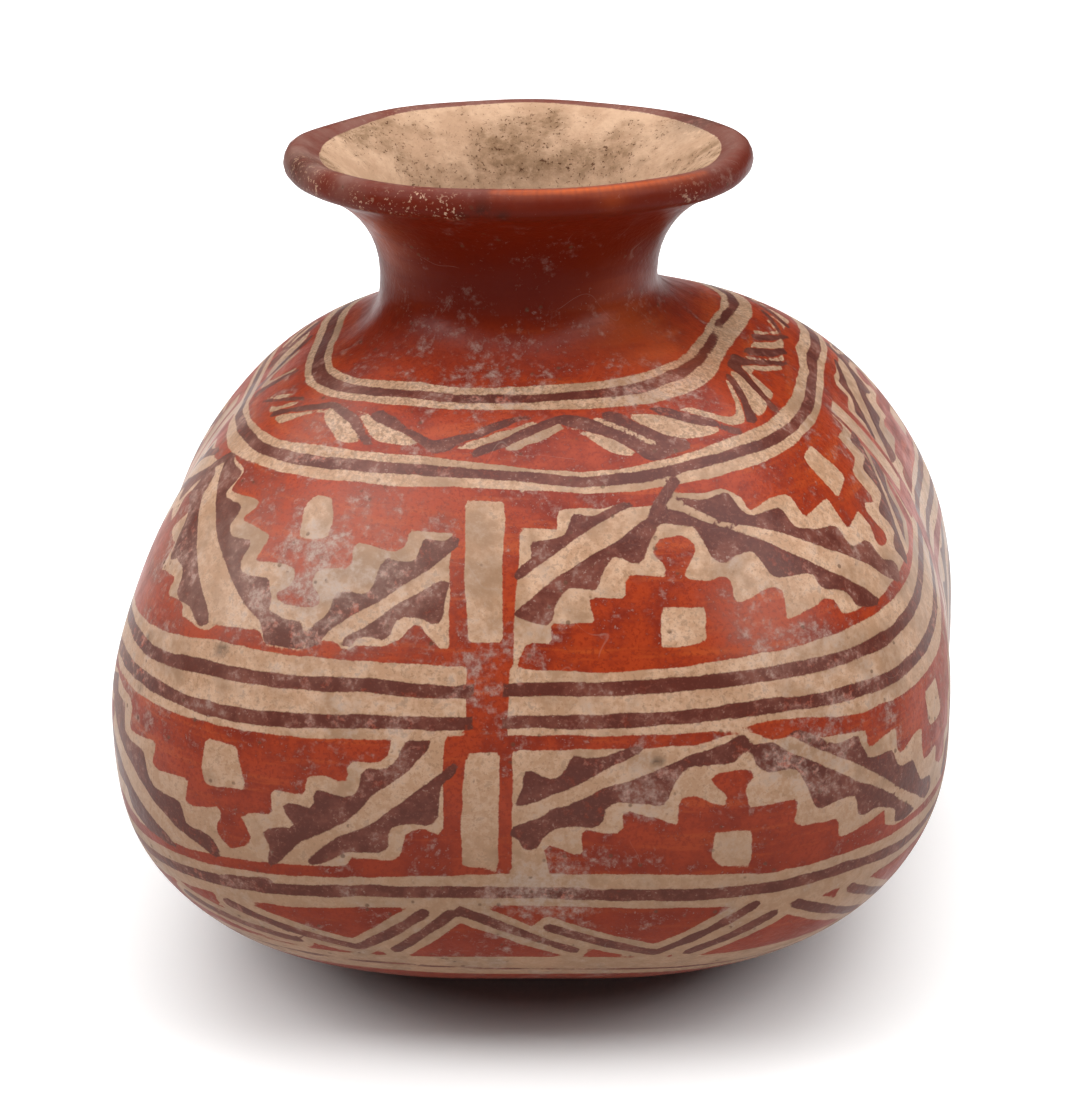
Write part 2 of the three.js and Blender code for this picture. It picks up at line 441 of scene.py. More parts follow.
# The painted lines that go round the pot
bands = {
    "innerTop": line({-90: 279, -60: 279, -50: 279.9, -40: 282.6, -30: 283.6, -20: 282.4, -10: 282.4,
                      0: 282.9, 10: 284, 20: 284.7, 30: 286.3, 40: 288.3, 60: 290.5, 90: 289.5,
                      140: 285, 200: 282, 240: 280}),
    "innerDarkTop": line({-90: 276, -60: 276.5, -50: 277.9, -40: 279.6, -30: 280.8, -20: 280.1, 0: 279.7,
                          10: 280.8, 20: 282.2, 30: 283.8, 40: 286.1, 50: 287.4, 60: 288.6, 90: 288,
                          140: 283, 200: 279, 240: 277}),
    "innerDarkLow": line({-90: 271.8, -60: 272, -50: 273.8, -40: 276.3, -30: 277.5, -20: 276.5, 0: 276.3,
                          10: 277.7, 20: 278.7, 30: 279.9, 40: 282.4, 50: 284.7, 60: 286, 90: 286,
                          140: 279.5, 200: 275, 240: 273}),
    "innerLow": line({-90: 268.4, -60: 269.7, -50: 271.3, -40: 273.4, -30: 274.3, -10: 273.6, 10: 273.8,
                      20: 274.5, 30: 275.6, 40: 277.5, 50: 280.1, 60: 282.4, 70: 282.8, 90: 281,
                      140: 276, 200: 271, 240: 269}),
    "outerTop": line({-80: 245, -70: 247.9, -60: 250.9, -50: 252.7, -40: 255.6, -30: 256.1, -20: 256,
                      -10: 253.6, 0: 251.3, 10: 250.4, 20: 252, 30: 255.4, 40: 258.6, 60: 260.2,
                      80: 259.5, 90: 259, 100: 262, 150: 258, 200: 252, 250: 247}),
    "outerDarkTop": line({-80: 242.1, -70: 246.4, -60: 248.8, -50: 250, -40: 252, -30: 253.4, -20: 252.9,
                          -10: 251.3, 0: 250.2, 10: 248.6, 20: 250.6, 30: 253.1, 40: 255, 60: 255.9,
                          80: 255.9, 90: 255.4, 100: 258, 150: 254, 200: 248.5, 250: 244}),
    "outerDarkLow": line({-80: 238.6, -70: 242.5, -60: 245.2, -50: 246.5, -40: 247.9, -30: 249.5,
                          -20: 249.3, -10: 248.1, 0: 246.5, 10: 245, 20: 246.5, 30: 249.7, 40: 251.8,
                          60: 252.5, 80: 252, 90: 251.8, 100: 253.4, 150: 250, 200: 245, 250: 240.5}),
    "outerLow": line({-80: 236, -70: 238.5, -60: 240.5, -50: 243.3, -40: 244.9, -30: 245.9, -20: 245.5,
                      -10: 245, 0: 244.2, 10: 243.3, 20: 244, 30: 246.5, 40: 248.1, 60: 250.2, 80: 249.3,
                      90: 248.8, 100: 250.6, 150: 247, 200: 242, 250: 238}),
    "midTop": line({-90: 184, -65: 185.5, -60: 187, -50: 190, -40: 194.2, -20: 193.8, -10: 192.5,
                    10: 190.3, 30: 194.2, 50: 197, 60: 198, 70: 200, 80: 201, 95: 203, 140: 200,
                    200: 195, 250: 188}),
    "midDark1": line({-90: 179, -65: 181, -60: 182.5, -50: 183, -40: 186.2, -20: 187.2, -10: 185,
                      10: 186.1, 30: 188.6, 50: 189.2, 60: 191.5, 70: 194.3, 80: 195, 92: 198.5,
                      140: 194, 200: 189, 250: 182}),
    "midDark2": line({-90: 169, -65: 171, -60: 173.4, -50: 175, -40: 175.2, -20: 177.2, -10: 176.2,
                      10: 176.9, 30: 179.8, 50: 178.3, 60: 179.5, 70: 182, 80: 185.3, 95: 189,
                      140: 184, 200: 178, 250: 172}),
    "midLow": line({-90: 165, -60: 169, -50: 170, -40: 171.3, -20: 172.3, -10: 173, 10: 172.8, 20: 173.8,
                    26: 174.6, 30: 175.9, 34: 175.6, 37: 174.3, 40: 173, 50: 172, 57: 172.3, 65: 173.2,
                    70: 175.5, 80: 178, 95: 182, 140: 178, 200: 172, 250: 167}),
    "lowTop": line({-50: 126, -40: 127.8, -20: 131, 0: 131.8, 20: 132, 30: 130.3, 40: 131.5, 70: 131,
                    140: 131, 220: 128, 270: 125}),
    "lowDark": line({-50: 119.5, -40: 122.3, -20: 126.4, 0: 125.3, 20: 124.9, 30: 125, 40: 126.5,
                     50: 124.3, 70: 125, 140: 125, 220: 123, 270: 120}),
    "lowLow": line({-50: 111.8, -40: 115.9, -20: 120.5, 0: 121, 20: 120, 30: 119, 50: 119, 70: 119,
                    140: 119, 220: 117, 270: 113}),
    "zigzagLow": line({-40: 98, -20: 97, 0: 97, 20: 95.3, 40: 96, 140: 97, 250: 97}),
    "thinDark": line({-30: 92, -20: 90.8, -10: 88.5, 0: 86.5, 10: 86, 20: 85.2, 40: 85, 140: 87, 250: 92}),
    "creamLow": line({-30: 84, 0: 80, 30: 79, 140: 81, 250: 84}),
}
darkWidth = 4.0  # millimetres


# Moves places to another side, where the bands below and above them run at other heights
def relaid(points, turned, low, high):
    out = []
    for turn, run in points:
        share = (run - low(turn)) / (high(turn) - low(turn))
        there = turn + turned
        out.append((there, float(low(there) + share * (high(there) - low(there)))))
    return out


# The painted shapes. Each is a list of places: degrees round the pot, millimetres along the wall
startUpper = {
    "dark": [
        [(-2.3, 218.3), (-1.2, 220.5), (0.6, 223), (0.2, 228.2), (4.2, 228.9), (5.9, 230.1),
        (7.2, 235.5),
         (7.7, 237), (9, 236.2), (11, 235.9), (15.5, 240), (17.9, 240.6), (18, 239.3), (16, 237.8),
         (10, 231.7), (5.5, 225.9), (1, 220), (-1, 216.7), (-1.8, 216.8)],
        [(-1.9, 207.6), (2, 213.7), (5, 218.4), (10, 223.9), (15, 229.2), (20, 235.9), (21.5, 238.5),
         (25, 237.5), (26.3, 232), (25, 232.4), (22.5, 233.5), (21, 233.1), (20.2, 230.9),
         (19.5, 229.2), (18.8, 227), (18.2, 224.8), (17.8, 222.6), (16.8, 221.3), (15.5, 221.7),
         (14.6, 223.4), (12.8, 223.1), (12, 220.6), (11, 218), (10.3, 213.9), (6, 214.2), (5.3, 212.8),
         (4, 209.5), (3.9, 207), (3.5, 204.5), (2.8, 203.4), (1.5, 204), (0, 205), (-2, 206.5)],
    ],
    "red": [
        [(-1.4, 252), (-1.4, 231.7), (-0.5, 232), (2.6, 231.7), (4.9, 231.2), (4.9, 237.6),
        (6.1, 238.1),
         (8.8, 238.5), (12.6, 238.2), (15, 239.5), (18, 238.7), (20.7, 238.9), (22, 240),
         (24.4, 242.6),
         (24.5, 252)],
        [(-1.8, 184), (-0.8, 195.5), (0.2, 198.6), (3.9, 198), (3.2, 203.4), (3.8, 204.3),
        (9.6, 204.3),
         (9, 210.6), (9.6, 211.2), (11.1, 211.6), (14.2, 211.2), (14.6, 216.4), (15, 217.8),
         (16.1, 218.2), (20.5, 217.4), (20.5, 221.4), (20, 222.6), (19.3, 224.2), (20, 227),
         (20.7, 228.4), (22.6, 229.1), (24.2, 229.5), (25.3, 227.6), (25.5, 225.3), (24.5, 222.6),
         (23.8, 220.3), (23.1, 218.7), (23.1, 217), (26.1, 216), (27.2, 217), (27.2, 184)],
    ],
    "cream": [[(18.9, 209), (24.8, 208.7), (24, 198.5), (18.2, 197.5)]],
    "strokes": [[(21, 237), (23, 241), (26, 246.7)]],
}
rightUpper = {
    "dark": [
        [(25, 237.5), (27, 234.8), (30, 231.7), (34, 227.6), (36.5, 224.8), (40, 219.2), (43, 214.5),
         (46, 209.8), (49, 204.2), (50, 201.4), (51.5, 198.7), (50, 198.4), (48, 199.5), (46, 200.9),
         (45.8, 203.1), (45, 205.9), (43.8, 207.3), (42, 208.4), (41.3, 210.3), (41.3, 213.1),
         (40, 214.1), (35.8, 214.2), (34.6, 215.9), (34.4, 219.2), (34, 222), (33.5, 223.3),
         (32.3, 223.2), (30.5, 222.3), (29.8, 220.9), (28.8, 220.4), (27.5, 222), (27, 228.1),
         (26.3, 232), (24, 235)],
        [(24.5, 241.7), (26.5, 241.4), (28.5, 240.3), (30, 240.4), (33.5, 242), (34, 241.2),
         (34.5, 235.3), (35.8, 233.2), (40.5, 234.5), (41.3, 233.9), (41.6, 229.8), (42, 227),
         (44, 225.9), (46, 224.8), (48.5, 223.9), (49.8, 222.6), (49.9, 219.8), (50.3, 216.2),
         (52, 215.6), (53.8, 215.5), (55, 214.2), (55.1, 210.9), (56, 207.8), (58, 206.4), (59, 204.8),
         (59, 202.6), (57.5, 198.7), (56, 201.2), (54, 204.8), (52, 209.5), (50, 212.3), (46.5, 217.3),
         (43, 222), (39, 227), (35, 230.6), (30.5, 233.4), (27, 237.8), (25, 240)],
        [(72.8, 235.9), (74, 236.7), (79.5, 235.9), (79.5, 234.2), (77, 229.8), (75, 227.6),
         (73.5, 224.8), (71.5, 220.9), (69, 216.4), (67.5, 213.1), (66.5, 210.9), (65.5, 208.1),
         (64.8, 204.8), (64, 202), (62.5, 200.3), (62, 203.1), (61, 206.4), (61, 208.7), (63, 209.5),
         (64, 209.5), (64.5, 210.9), (64, 214.2), (63, 217), (62.8, 218.7), (64, 219.2), (68.5, 219.2),
         (69, 220.9), (68.5, 225.9), (68, 229.2), (69, 229.8), (74, 229.2), (74, 230.9),
         (73.5, 233.7)],
        [(66.5, 203.1), (67.5, 207.6), (69, 211.4), (71, 216.4), (73, 220.9), (75.5, 224.8),
        (78, 227.6),
         (79, 224.2), (78.5, 220.3), (78, 218.7), (74.5, 217.6), (73, 215.9), (73, 210.3), (72, 207.6),
         (69, 205.9)],
    ],
    "red": [
        [(27, 184), (27.1, 217), (28.2, 217.1), (29.1, 215.9), (28.8, 209.8), (29.3, 208.9),
         (34.3, 212.3), (35.8, 211.4), (35, 202.3), (37.5, 203.7), (40, 204.8), (41.5, 205.8),
         (43, 204.8), (43.5, 200.1), (50.5, 199.8), (56, 201.7), (62, 202.3), (66, 202), (70, 203),
         (74.2, 205), (75, 210), (76, 216.5), (78, 218.5), (78.5, 184)],
        [(24.3, 254), (24.4, 242.6), (26.5, 242.4), (30, 241.8), (33, 242.9), (34.3, 241.4),
         (35.8, 238.7), (35.6, 235.9), (36, 235.1), (40, 237), (41.5, 237.4), (43.5, 237.3),
         (44.3, 235.3), (44.3, 230.9), (44.5, 228.9), (45.5, 229.1), (50, 231.4), (51.5, 231.2),
         (51.6, 221.2), (52.5, 220.8), (54, 222), (56, 223.2), (57, 223.1), (57.1, 220.3),
         (57.6, 217), (56.8, 214.8), (56.4, 212.8), (57.3, 211.2), (58.5, 210.6), (60, 210.9),
         (60.6, 213.1), (59.8, 216.4), (59.3, 219.8), (59, 222), (60, 223.4), (62, 222),
         (63.5, 220.9), (64, 222.6), (63.3, 227.6), (62.8, 232), (66, 232.8), (68.5, 233.4),
         (69, 235.3), (68.9, 240.9), (71, 240.9), (74, 240), (76.3, 240), (76.3, 245.4), (77.6, 245.4),
         (77.6, 236), (79.5, 236), (79.5, 254)],
    ],
    "cream": [[(52.5, 243.7), (53.5, 245.6), (57.3, 246.2), (60, 232.8), (54, 229.5)]],
}
leftUpper = {
    "dark": [
        [(-59.6, 238), (-58, 240.1), (-55, 238.9), (-52.4, 239.4), (-51.5, 238.6), (-51.7, 235),
         (-52, 231.7), (-51, 230.6), (-47.4, 231), (-46.2, 230), (-46.5, 226.7), (-46.5, 223.9),
         (-45.1, 222.2), (-42.8, 222.8), (-41.2, 222.8), (-41, 220.6), (-41.2, 216.7), (-40.3, 213.9),
         (-38.3, 213.6), (-35.8, 214.2), (-35.1, 211.1), (-34.4, 208.9), (-34.4, 205), (-31.9, 203.6),
         (-29.9, 203.9), (-29.4, 202.2), (-28.7, 195.8), (-33.5, 196.1), (-35, 202.2), (-37.6, 205),
         (-40, 208.9), (-43.3, 214.4), (-46.9, 218.9), (-50, 223.9), (-52.4, 227.2), (-56.9, 233.3)],
        [(-62.8, 231.7), (-60, 230), (-57.8, 226.1), (-55, 221.7), (-52.4, 217.8), (-48.7, 211.7),
         (-45.5, 206.1), (-42.4, 200.6), (-41.7, 197.2), (-43.3, 195.8), (-44.6, 197.5), (-46, 199.7),
         (-48.7, 199.7), (-50, 201.7), (-50.3, 206.1), (-51.5, 208.3), (-54.2, 208.3), (-55, 206.9),
         (-56, 207.2), (-56.7, 211.1), (-57.6, 216.7), (-58.5, 219.4), (-60, 220.6), (-63.3, 222.2)],
        [(-28.7, 196.1), (-28.3, 202.8), (-26.8, 206.1), (-26.7, 211.1), (-26.4, 212.8),
         (-25.1, 213.2), (-22.4, 212.2), (-21.9, 215.6), (-21.5, 222.2), (-20.8, 223.3),
         (-19.6, 222.3), (-16.9, 222.2), (-16.7, 225.6), (-16.5, 229.2), (-13.3, 228.3), (-12.4, 230),
         (-11, 229.2), (-11, 226.7), (-12.4, 224.2), (-14.6, 220), (-17.8, 215.6), (-20.5, 210.6),
         (-23.7, 206.1), (-26, 201.7), (-26.9, 197.2)],
        [(-12.4, 216.9), (-11.2, 216.1), (-11.7, 212.2), (-11.9, 206.1), (-12.4, 204.2),
         (-13.3, 204.2), (-14.6, 206.1), (-17.6, 206.8), (-18.3, 201.1), (-19.2, 199.3),
         (-20.5, 200.3), (-22.4, 200), (-23, 196.9), (-24.4, 197.8), (-24, 200), (-20.5, 205.6),
         (-17.8, 210.6), (-15.5, 212.8), (-13.7, 216.1)],
    ],
    "red": [
        [(-64, 250), (-61, 239.6), (-57, 240.7), (-53, 240.5), (-51.6, 239.8), (-51.4, 238),
         (-51.4, 233.3), (-50.5, 233), (-47.8, 233.6), (-44.2, 234.2), (-43.5, 233.1), (-44.2, 230.6),
         (-45, 227.8), (-44.4, 227.1), (-41.5, 226.7), (-39, 226.2), (-38.6, 225), (-38.8, 221.1),
         (-39.2, 218.3), (-38.3, 217.7), (-35.1, 218.9), (-32.8, 218.2), (-32.4, 215.6),
         (-32.6, 212.8),
         (-34, 211.1), (-34, 209.2), (-32.4, 207.8), (-29.6, 207.3), (-27.8, 208.3), (-28, 210.8),
         (-29.6, 213.9), (-30.1, 216.1), (-29.6, 218.3), (-28.5, 219.3), (-25.5, 219.4),
         (-25.3, 221.1),
         (-26, 225), (-25.9, 227.5), (-23.3, 226.7), (-20.1, 225.1), (-19, 226.1), (-18.6, 228.6),
         (-19.1, 232.2), (-16.9, 231.4), (-13, 230.6), (-11, 230.4), (-11, 252)],
        [(-66, 180), (-66, 212), (-62, 210), (-57.8, 210.6), (-58, 201.4), (-54.8, 203.6),
         (-51.7, 204.2), (-52, 201.7), (-51.5, 198.8), (-48.5, 200.3), (-47, 199.2), (-47, 197),
         (-44.8, 196.6), (-43.4, 195.7), (-41.5, 195.9), (-41.5, 198), (-37, 199.3), (-34.6, 199.6),
         (-33.5, 196), (-28.7, 195.8), (-26.9, 199), (-24.8, 198.9), (-24, 197), (-22.8, 196.8),
         (-22.5, 198.3), (-19, 197.9), (-17.3, 199.6), (-15.7, 204), (-14.7, 204.2), (-13.7, 201.7),
         (-11.5, 196.8), (-9.5, 197), (-9, 184)],
    ],
    "cream": [
        [(-34.9, 240.3), (-32.1, 240), (-30.3, 233.3), (-29.9, 227.5), (-34.2, 227.1), (-35.6, 235),
         (-35.5, 237.5)],
    ],
}
startLower = {
    "dark": [
        [(-0.3, 162), (0.3, 163.4), (3.2, 160.3), (4.3, 160.5), (5.1, 163), (5.9, 167), (6.7, 167.8),
         (7.2, 166.6), (9.5, 166.8), (13, 169.5), (14.7, 170.2), (14.7, 168.8), (12.6, 165.8),
         (10.1, 163.3), (7.2, 159.3), (4.9, 156.8), (2.6, 154.9), (0.3, 153), (-1.4, 152.5),
         (-0.3, 158)],
        [(-1.6, 146.5), (2.2, 149.3), (3.4, 151.8), (4.9, 152.3), (8, 155.3), (10.3, 158.3),
         (13.4, 160.3), (16.8, 163.8), (20.7, 167.8), (23.8, 170), (26.8, 173.3), (27.8, 169.8),
         (27.8, 163.5), (27, 168), (26.5, 169.3), (26.1, 166), (25.3, 164.8), (20.1, 164.4),
         (18.8, 161.5), (17.8, 156.5), (17.6, 154), (16.7, 153), (14.9, 153.5), (11.5, 154),
         (10.1, 152), (9.9, 147.5), (8.8, 145.9), (5.3, 146.3), (3.4, 145.5), (2, 142.5), (1.7, 140),
         (0.7, 138.8), (-0.5, 139.8), (-0.8, 142), (-2.2, 144)],
    ],
    "red": [
        [(3.2, 126), (3.2, 131), (2.2, 140), (2.8, 140.8), (4.5, 140), (5.9, 138.1), (7.2, 138.1),
         (6.9, 144.5), (7.6, 145.3), (9.5, 144.6), (12.2, 144.4), (12.2, 150.5), (12.8, 151.3),
         (14.5, 150), (16.5, 149), (18.6, 146.8), (18.8, 154.5), (19.5, 155.8), (20.7, 156),
         (22.2, 154), (24.5, 152.7), (24.2, 156), (23, 159.5), (22.4, 161.5), (23.8, 162.3),
         (26.1, 163.1), (27.4, 162.5), (27.6, 160.5), (26.5, 158), (26.8, 152), (27.4, 151.8),
         (27.4, 126)],
        [(-3, 178), (-3, 168.4), (12, 169.4), (16, 169.6), (22, 170.6), (25, 172.6), (27.4, 173.2),
         (27.4, 182)],
    ],
    "cream": [[(22.8, 144.8), (28.2, 144.6), (29, 133.3), (23.8, 134), (22.7, 137)]],
}
rightLower = {
    "dark": [
        [(27.8, 169.8), (27.8, 163.5), (29.3, 161.5), (31.8, 161.9), (32.7, 160.8), (33.3, 157.5),
         (34.1, 152), (34.7, 148.8), (35.4, 148.1), (37.2, 149.5), (39.8, 150), (40.2, 148),
         (40.4, 143.5), (41.4, 142), (43.5, 143.5), (44.8, 142), (46.6, 139.8), (46.8, 135.3),
         (49.1, 134), (51.4, 135.5), (49.1, 139), (46.4, 144.5), (43.3, 149.8), (40.2, 154),
         (36.8, 159.3), (33.7, 164), (31.8, 166.3), (30.2, 169.8)],
        [(33.3, 172.5), (35.8, 169.5), (36.4, 167.5), (38.3, 166.3), (41, 167), (41.4, 164),
         (42.2, 159.5), (43.3, 159), (46.2, 159), (46.6, 156), (47, 153), (47.9, 152), (50.2, 152),
         (51, 148.5), (52.2, 143.5), (55, 142.3), (55.6, 137), (53.7, 135.5), (51, 140), (47.9, 145),
         (45.2, 150), (42.9, 154.5), (40.6, 158.5), (37.5, 163), (34.8, 167), (31.8, 171.5)],
        [(60, 136), (62, 145), (65, 146), (66, 154), (69, 154), (70, 162), (74, 162), (77, 169),
         (79.5, 168), (74, 158), (68, 147), (62, 134)],
        [(66, 136), (71, 147), (76, 157), (79.5, 161), (79, 150), (75, 148), (74, 140), (70, 139)],
    ],
    "red": [
        [(27.2, 126), (27.2, 151.9), (28, 151.8), (32.5, 153), (32.3, 149.5), (32, 145.5),
        (33.3, 143.8),
         (35.6, 144), (37.3, 144.5), (37.9, 142.5), (37.9, 137.5), (39.1, 137.4), (42.2, 139.5),
         (44.8, 141.3), (45.1, 136), (47, 134), (56, 134.5), (70, 136), (75, 137), (78, 146),
         (79.5, 126)],
        [(27.2, 182), (27.2, 173.2), (28.5, 172.4), (29.5, 170.7), (31, 170.4), (33.4, 171.9),
         (35, 169.8), (36.4, 168.9),
         (42.2, 167.5), (42, 163), (42.5, 161.9), (45.2, 163.8), (47.5, 164.5), (47, 157),
         (48.1, 156.3),
         (50.2, 158.3), (51.6, 159.5), (53.1, 159), (52.5, 154), (52.7, 149.5), (53.7, 149),
         (56.8, 150.5), (56.6, 145), (58.5, 142), (61, 143), (60.5, 149), (63.5, 150), (64, 157),
         (67, 158), (68, 165), (73, 166), (76, 171.5), (79.5, 170), (79.5, 182)],
    ],
    "cream": [[(55, 167.5), (59.5, 168), (59.8, 157.3), (55.2, 157.3)]],
}
leftLower = {
    "dark": [
        [(-15.1, 172), (-11.9, 171.8), (-11.9, 170), (-13, 167), (-14.6, 163), (-16.5, 159.5),
         (-18.3, 156.5), (-20.1, 151), (-21.2, 148), (-24.2, 144), (-26.5, 141), (-27.8, 137),
         (-29.6, 132.5), (-30.3, 131.8), (-30.3, 135), (-29.9, 138.5), (-30.8, 142), (-30.5, 143.5),
         (-28.7, 144.8), (-27, 145.3), (-27.6, 148), (-28.5, 151.5), (-28.3, 153), (-26.5, 152.3),
         (-24.9, 151.5), (-24.9, 157), (-24, 157.3), (-21.7, 155.3), (-20.5, 156), (-19.9, 159.5),
         (-19.9, 164), (-17.1, 163.3), (-16.2, 165.5), (-15.5, 169)],
        [(-9, 165.5), (-8.4, 164.3), (-9.2, 161.3), (-10.5, 159.5), (-10.8, 149), (-11.9, 147.1),
         (-13.7, 147.6), (-16, 147.3), (-16.5, 145), (-16.7, 140), (-17.4, 138.8), (-20.5, 139),
         (-21.7, 138.3), (-23.3, 135.5), (-25.5, 133.5), (-26, 135), (-24.2, 139), (-22.4, 143.5),
         (-20.1, 145.5), (-17.8, 149), (-15.5, 153.5), (-13.3, 158), (-10.5, 162.3)],
        [(-59.6, 163.5), (-54.2, 163.3), (-54, 159.5), (-53.3, 155.5), (-51.5, 155), (-48, 155.3),
         (-47.4, 152.5), (-46.7, 148.5), (-45.5, 146.3), (-41.5, 146.1), (-41, 144), (-40.5, 139.5),
         (-37.8, 138.8), (-36.9, 137), (-36.2, 133.5), (-36.2, 130.5), (-38.7, 133.5), (-41.9, 136.5),
         (-44.6, 140.5), (-47.8, 144.5), (-51, 148.5), (-54.6, 151.5), (-60, 158)],
        [(-62, 152), (-58, 149), (-52, 142), (-44.2, 133), (-42.1, 128.8), (-48, 130), (-52, 133),
         (-53, 138), (-57, 139), (-58, 144), (-62, 145)],
    ],
    "red": [
        [(-62, 180), (-60, 167), (-53, 166.5), (-51.9, 164), (-52.1, 159), (-51.5, 158),
        (-47.8, 159.3),
         (-45.8, 160), (-46.2, 153.3), (-44.6, 152.3), (-41.9, 153.5), (-40, 154), (-40.5, 146.3),
         (-39.4, 145.6), (-36.9, 147.3), (-35.8, 147.9), (-35.5, 145), (-36.2, 142), (-36.2, 139),
         (-34.6, 135.3), (-32.6, 137.5), (-32, 140), (-32.6, 143), (-33.3, 147), (-31.5, 148.4),
         (-29.6, 148.5), (-29.6, 156), (-26, 155.4), (-25.8, 161), (-23.7, 161.3), (-22.1, 159.9),
         (-21, 160.5), (-21.5, 165.8), (-17.8, 165.8), (-16.7, 168), (-16, 180)],
        [(-21.5, 126), (-21.2, 137.8), (-20.5, 136.8), (-16, 136.5), (-15.1, 138), (-14.6, 145.5),
         (-12.4, 146), (-11.5, 144.5), (-10, 144.3), (-10, 126)],
        [(-66, 122), (-66, 134), (-56, 133), (-50, 130), (-40, 131.2), (-30, 133.2), (-20, 134.6),
         (-10, 135), (-10, 122)],
    ],
    "cream": [
        [(-38.2, 167), (-34.2, 167.1), (-33.3, 161), (-32.4, 154.8), (-37.6, 154), (-38.3, 159.5)],
    ],
}
frontBar = {
    "upperFrame": [(-13, 252), (-12.4, 235), (-11.8, 220), (-10.8, 205), (-10, 186), (-1.8, 186),
                   (-1.8, 205), (-1.4, 225), (-1.2, 252)],
    "upperCream": [(-11.2, 240.8), (-10, 228), (-9.6, 220), (-8.5, 207), (-8.2, 203), (-8.1, 199.5),
                   (-3.4, 197.2), (-3.6, 210), (-4, 220), (-4, 232), (-4.5, 240.3)],
    "lowerFrame": [(-10.4, 180), (-10.2, 150), (-10.2, 126), (-1.8, 126), (-1.7, 150), (-1.7, 180)],
    "lowerCream": [(-7.6, 168.7), (-8, 150), (-8, 134.5), (-3.5, 133), (-3.4, 150), (-3.3, 168.7)],
    "junction": [(-9.5, 199), (-8, 192), (-7.8, 172), (-9, 168), (-2.6, 168), (-2.2, 180), (-2.4, 199)],
}


def paintPanel(panel, turned, low, high):
    def laid(points):
        return relaid(points, turned, low, high) if turned else points
    zone = between(low, high)
    red = allOf(zone, anyOf(*[field(laid(p), True) for p in panel["red"]]))
    cream = anyOf(*[field(laid(p), True) for p in panel["cream"]])
    dark = anyOf(
        *[field(laid(p), True) for p in panel["dark"]],
        *[field(laid(p), False, darkWidth * 0.8) for p in panel.get("strokes", [])],
    )
    # a copy on another side keeps within its own bands
    return allOf(red, -cream), allOf(dark, zone) if turned else dark


redField = np.full(len(turns), far)
darkField = np.full(len(turns), far)
for panels, low, high in (
    (((startUpper, 0), (rightUpper, 0), (startUpper, -84), (leftUpper, 0), (startUpper, 90),
      (rightUpper, 90), (startUpper, -174), (leftUpper, -90)), "midTop", "outerLow"),
    (((startLower, 0), (rightLower, 0), (startLower, -86), (leftLower, 0), (startLower, 90),
      (rightLower, 90), (startLower, -176), (leftLower, -90)), "lowTop", "midLow"),
):
    for panel, turned in panels:
        red, dark = paintPanel(panel, turned, bands[low], bands[high])
        redField = anyOf(redField, red)
        darkField = anyOf(darkField, dark)
print("panels painted")

# The upright bars over the valleys, and the dark lines, which stop at their red crossings
crossings = np.full(len(turns), far)
for turned in (0, 89.7, 180, 270):
    for part, low, high in (("upper", "midTop", "outerLow"), ("lower", "lowTop", "midLow")):
        lowLine, highLine = bands[low], bands[high]
        frameField = field(relaid(frontBar[part + "Frame"], turned, lowLine, highLine), True)
        barField = field(relaid(frontBar[part + "Cream"], turned, lowLine, highLine), True)
        redField = anyOf(redField, allOf(frameField, between(lowLine, highLine)))
        redField = allOf(redField, -barField)
    crossing = field(relaid(frontBar["junction"], turned, bands["midLow"], bands["midTop"]), True)
    crossings = anyOf(crossings, crossing)
redField = anyOf(redField, crossings)


def lineField(name, width=darkWidth):
    return width / 2 - np.abs(runs - bands[name](turns))


darkField = anyOf(
    darkField,
    # the belt's lines run a little way into the crossings
    allOf(anyOf(lineField("midDark1"), lineField("midDark2")), -crossings + 2.2),
    lineField("lowDark"), lineField("thinDark", 1.8),
    between(bands["outerDarkLow"], bands["outerDarkTop"]),
    between(bands["innerDarkLow"], bands["innerDarkTop"]),
    # the low line's overlapping end
    field([(-35.4, 123.6), (-31, 125.4)], False, 5.4),
)

